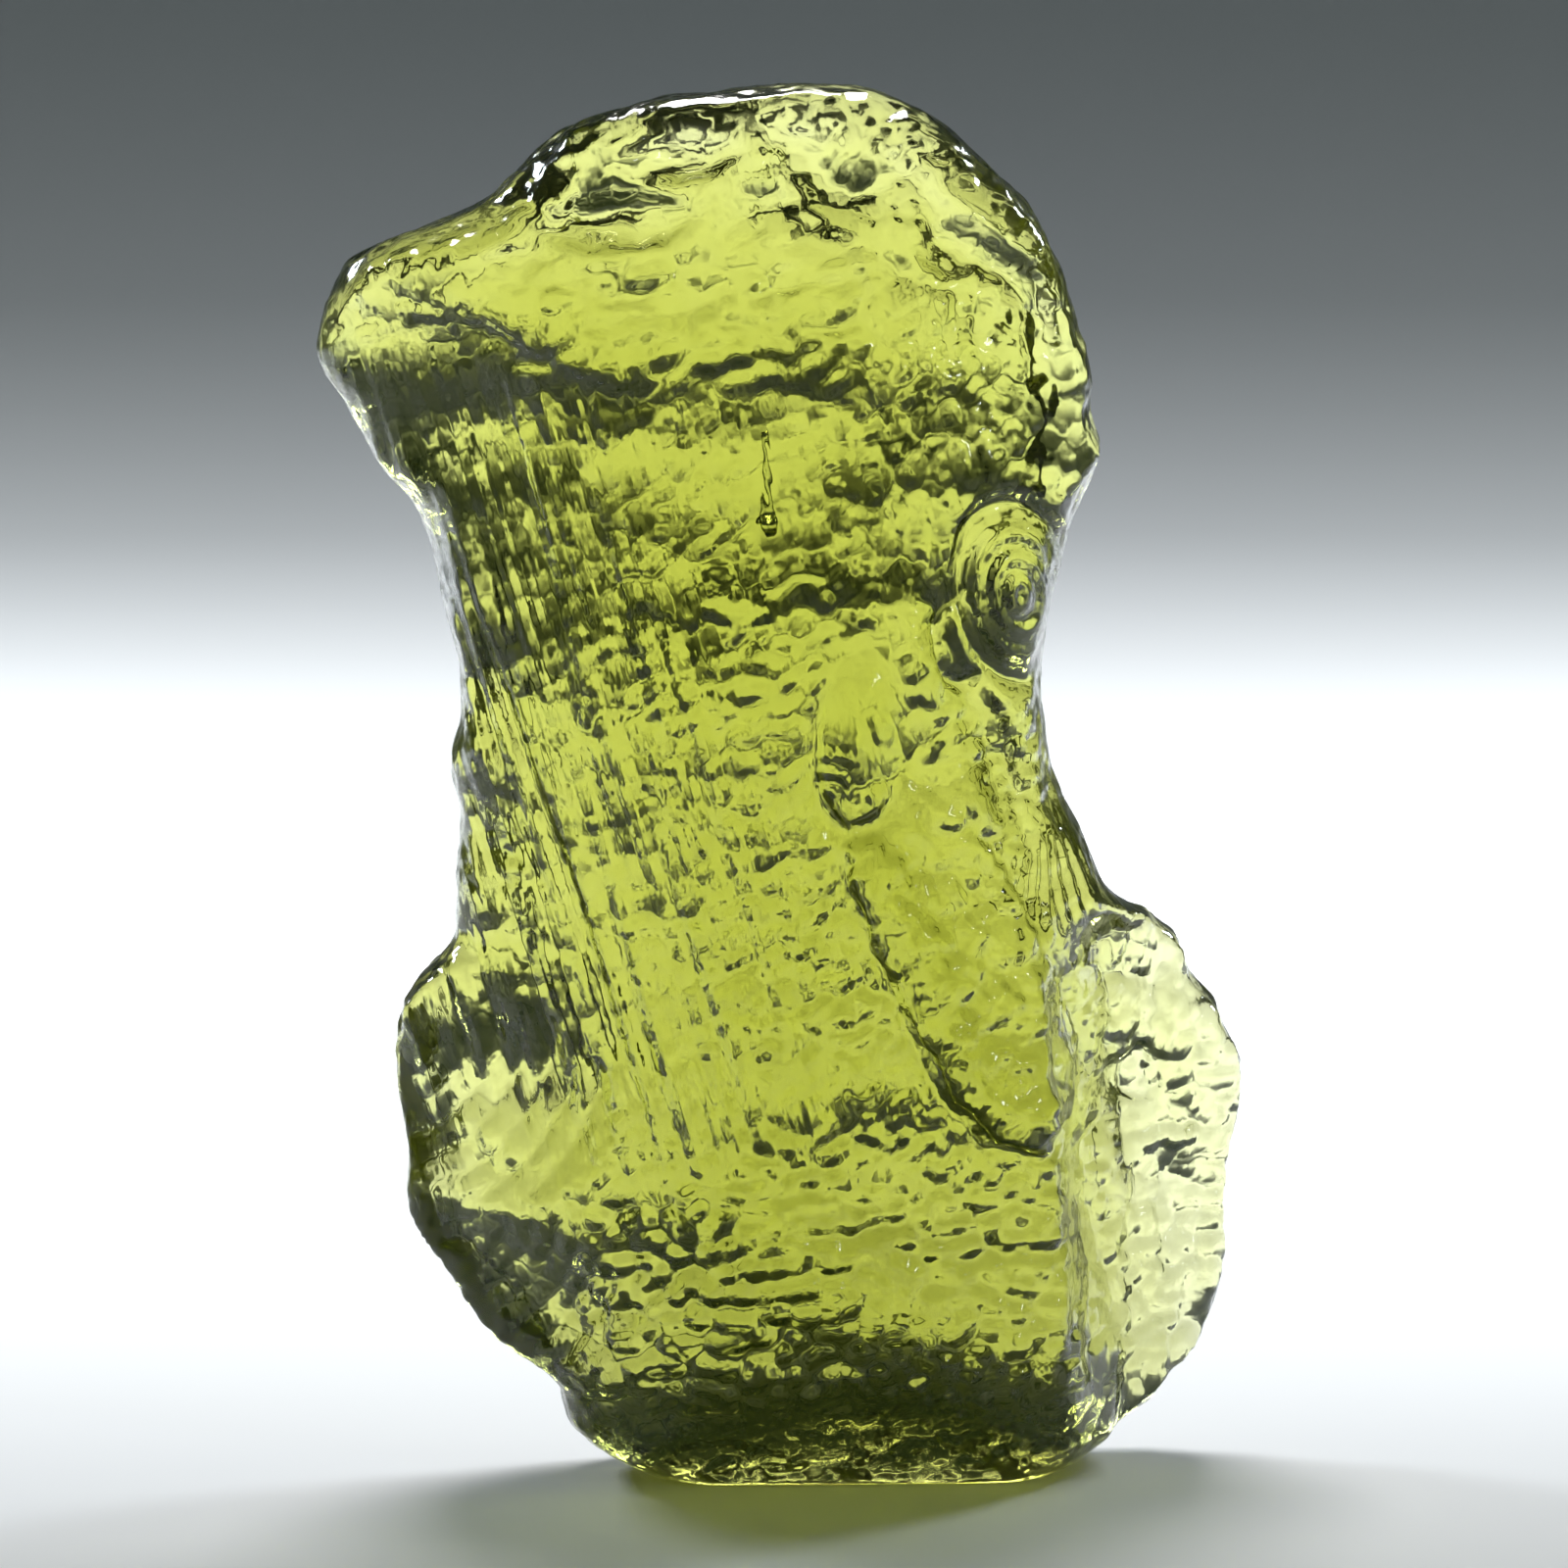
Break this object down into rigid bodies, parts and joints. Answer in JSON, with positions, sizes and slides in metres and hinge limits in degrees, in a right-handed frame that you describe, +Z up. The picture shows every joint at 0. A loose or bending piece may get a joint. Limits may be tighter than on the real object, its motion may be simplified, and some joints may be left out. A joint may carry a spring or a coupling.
{
  "type": "moldavite",
  "caption": "Natural green glass stone, waisted like an hourglass, standing upright on a small flat base, with etched cups, a stepped tongue and a thin side blade.",
  "frame": {"origin": "on the plane the stone stands on, under the middle of its bounding box", "axes": "+Z up along the stone's length; -Y out of the pictured front, so Y runs through its thickness; +X to the right seen from the front, towards the thin blade at the foot"},
  "size_m": [0.0214, 0.0092, 0.032],
  "materials": {
    "glass": "see-through yellow-green natural glass, etched to a soft gloss with fine pits, almost clear where it is thin"
  },
  "bodies": {
    "root": {"moldavite": "glass"}
  },
  "joints": []
}
